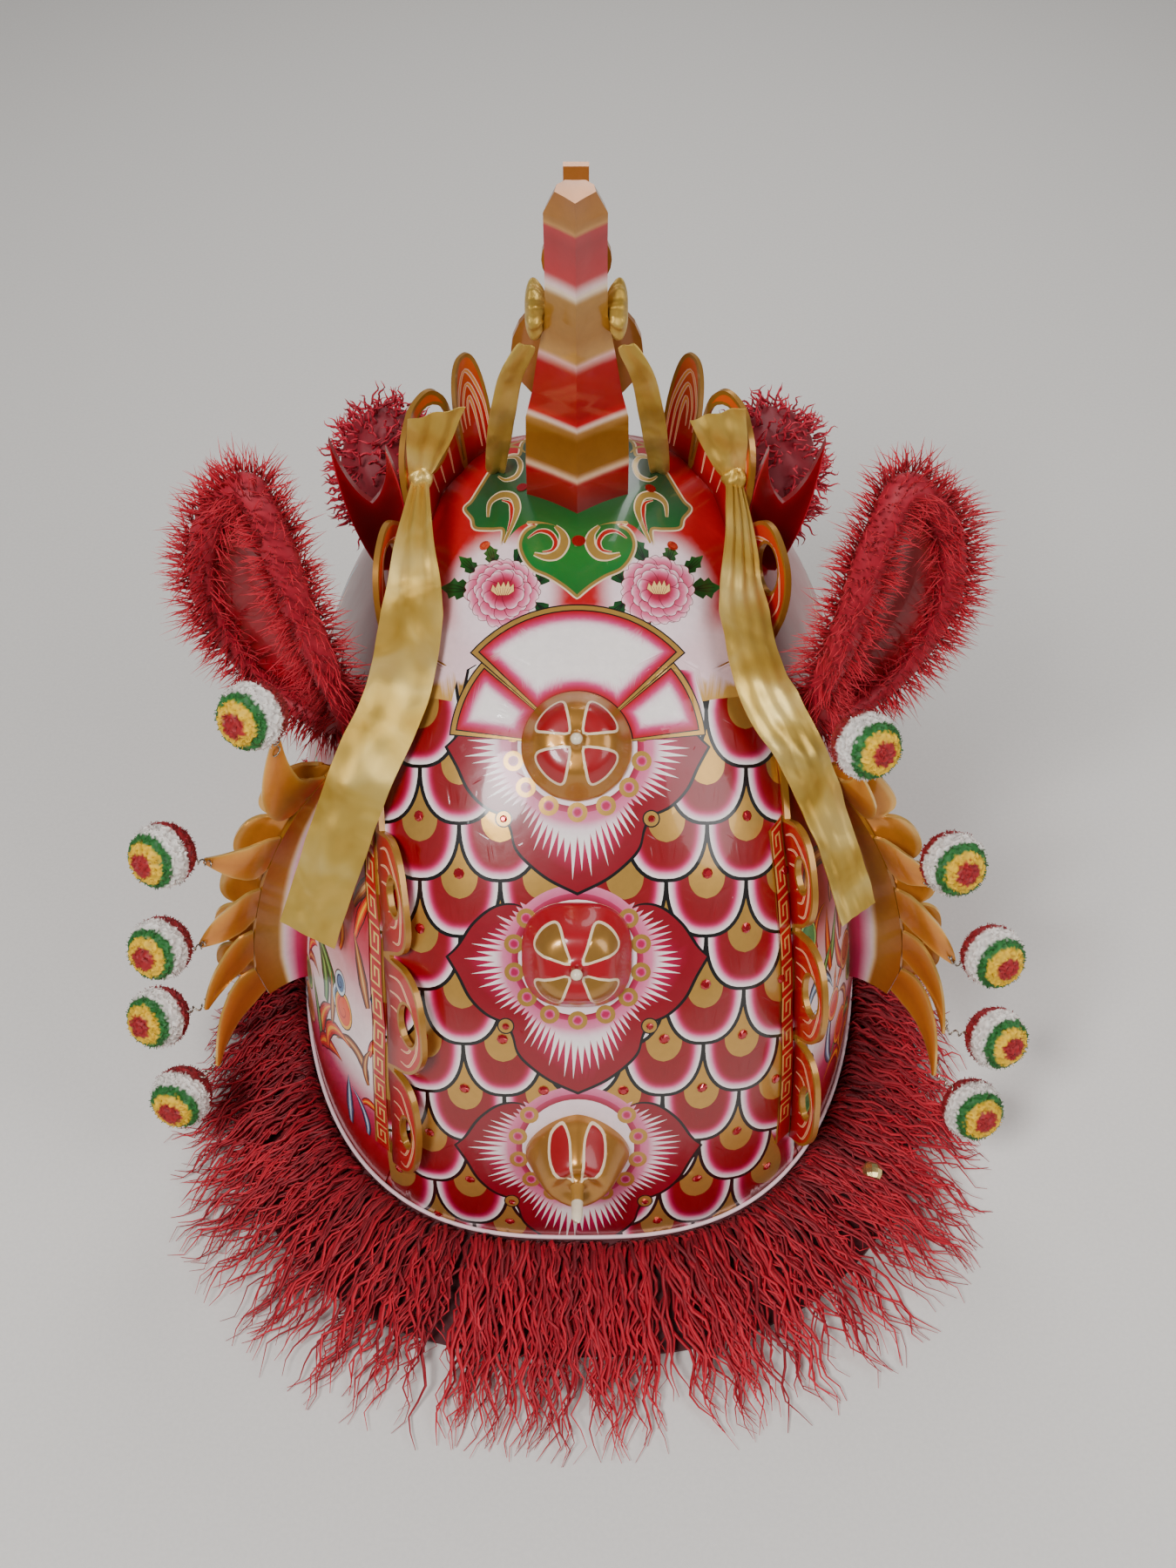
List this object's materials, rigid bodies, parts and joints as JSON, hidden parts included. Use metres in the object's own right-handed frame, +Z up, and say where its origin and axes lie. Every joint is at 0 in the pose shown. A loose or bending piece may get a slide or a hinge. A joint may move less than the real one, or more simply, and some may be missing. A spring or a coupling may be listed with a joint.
{
  "type": "qilin dance head",
  "caption": "Hollow painted dance head worn over the performer's head, with a horn, crest boards, furred ears, pompoms on wires, ribbons and a wool fringe.",
  "frame": {"origin": "on the ground at the middle of the object's outline, under the head", "axes": "+Y towards the face, +X to the wearer's right, +Z up from the rim to the horn"},
  "size_m": [0.7016, 0.8296, 0.735],
  "materials": {
    "shell_paper": "painted papier mache under clear varnish",
    "mask_paper": "painted papier mache under clear varnish",
    "boss_gold": "gold paint under varnish",
    "boss_red": "red and gold paint under varnish",
    "horn_paint": "banded red and gold paint under varnish",
    "plaque_board": "gold painted board",
    "gold_lame": "crumpled metallic ribbon",
    "crest_card": "painted card with gold edges",
    "fret_trim": "painted spiral fret",
    "collar_paint": "airbrushed bands under varnish",
    "leaf_card": "orange gold paint",
    "pompom_wool": "cut wool in rings of colour",
    "ear_gloss": "glossy red paint",
    "ear_fur": "dyed fur",
    "antler_gloss": "glossy dark red paint",
    "fringe_wool": "curly dyed wool",
    "piping_cord": "covered cord",
    "bell_brass": "polished"
  },
  "bodies": {
    "root": {"head_shell": "shell_paper", "face_mask": "mask_paper", "boss_upper": "boss_gold", "boss_middle": "boss_red", "boss_lower": "boss_gold", "horn": "horn_paint", "gourd_plaque": "plaque_board", "rosette_left": "gold_lame", "ribbon_swag_left": "gold_lame", "crest_board_left": "crest_card", "fret_band_left": "fret_trim", "collar_left": "collar_paint", "scallop_board_left": "leaf_card", "flame_leaf_left_1": "leaf_card", "pompom_left_1": "pompom_wool", "flame_leaf_left_2": "leaf_card", "pompom_left_2": "pompom_wool", "flame_leaf_left_3": "leaf_card", "pompom_left_3": "pompom_wool", "flame_leaf_left_4": "leaf_card", "pompom_left_4": "pompom_wool", "flame_leaf_left_5": "leaf_card", "pompom_left_5": "pompom_wool", "ear_cup_left": "ear_gloss", "ear_fur_left": "ear_fur", "antler_left": "antler_gloss", "mane_left": "fringe_wool", "ribbon_left": "gold_lame", "rosette_right": "gold_lame", "ribbon_swag_right": "gold_lame", "crest_board_right": "crest_card", "fret_band_right": "fret_trim", "collar_right": "collar_paint", "scallop_board_right": "leaf_card", "flame_leaf_right_1": "leaf_card", "pompom_right_1": "pompom_wool", "flame_leaf_right_2": "leaf_card", "pompom_right_2": "pompom_wool", "flame_leaf_right_3": "leaf_card", "pompom_right_3": "pompom_wool", "flame_leaf_right_4": "leaf_card", "pompom_right_4": "pompom_wool", "flame_leaf_right_5": "leaf_card", "pompom_right_5": "pompom_wool", "ear_cup_right": "ear_gloss", "ear_fur_right": "ear_fur", "antler_right": "antler_gloss", "mane_right": "fringe_wool", "ribbon_right": "gold_lame", "rim_piping": "piping_cord", "fringe": "fringe_wool", "bell": "bell_brass"}
  },
  "joints": []
}
